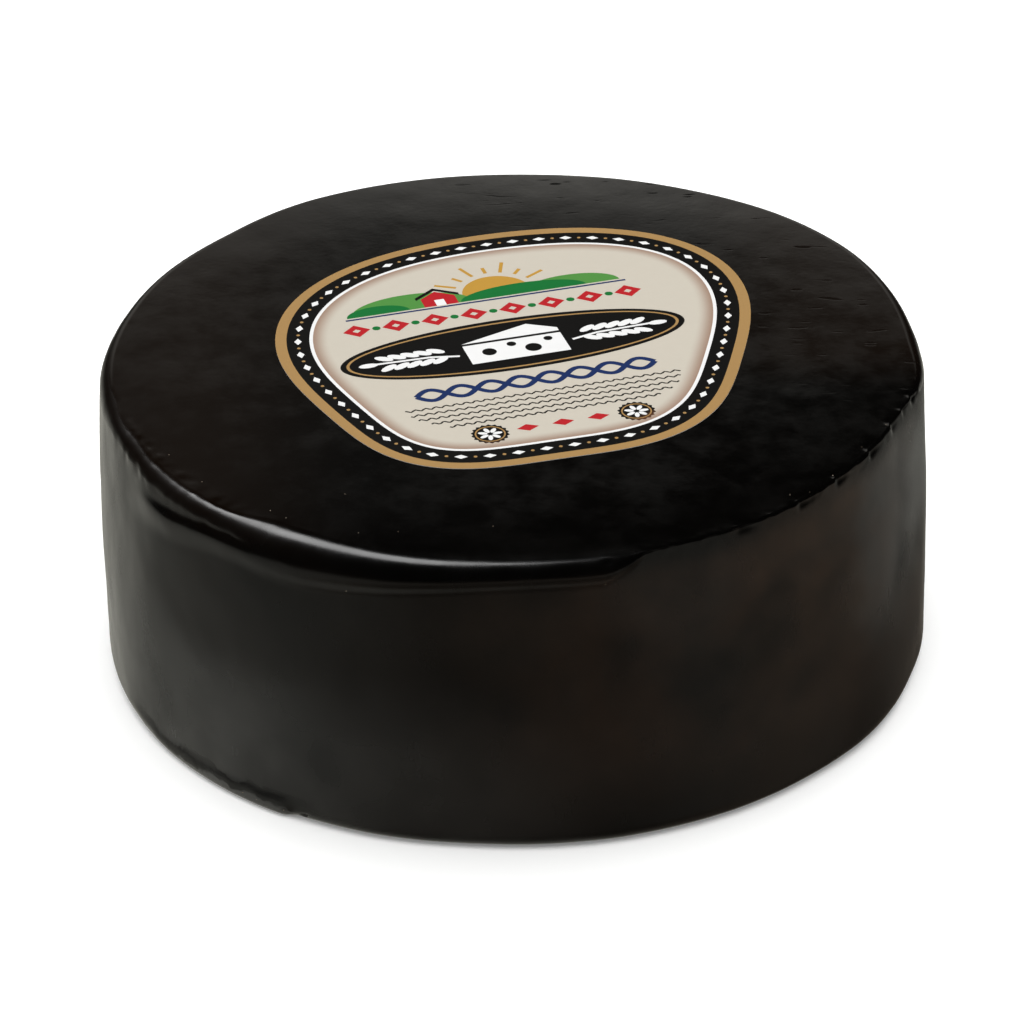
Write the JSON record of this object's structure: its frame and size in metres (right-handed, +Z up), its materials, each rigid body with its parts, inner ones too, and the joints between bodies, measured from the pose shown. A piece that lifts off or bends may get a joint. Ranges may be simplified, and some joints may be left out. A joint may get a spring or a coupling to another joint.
{
  "type": "waxed parmesan cheese wheel",
  "caption": "Whole drum-shaped wheel of hard cheese in a coat of black wax, with a soft, uneven rim and a shield-shaped paper label lying on its flat top.",
  "frame": {"origin": "middle of the flat face the wheel stands on", "axes": "+Z up through the wheel's flat top; the label reads from -Y, and +X is to that reader's right"},
  "size_m": [0.3278, 0.3285, 0.1253],
  "materials": {
    "black_wax": "poured and brushed wax, near black with a warm brown cast, satin, faintly lumpy",
    "printed_paper": "coated label paper, cream field inside a white line, a black ring and a tan edge, soft satin"
  },
  "bodies": {
    "root": {"wheel": "black_wax", "label": "printed_paper"}
  },
  "joints": []
}
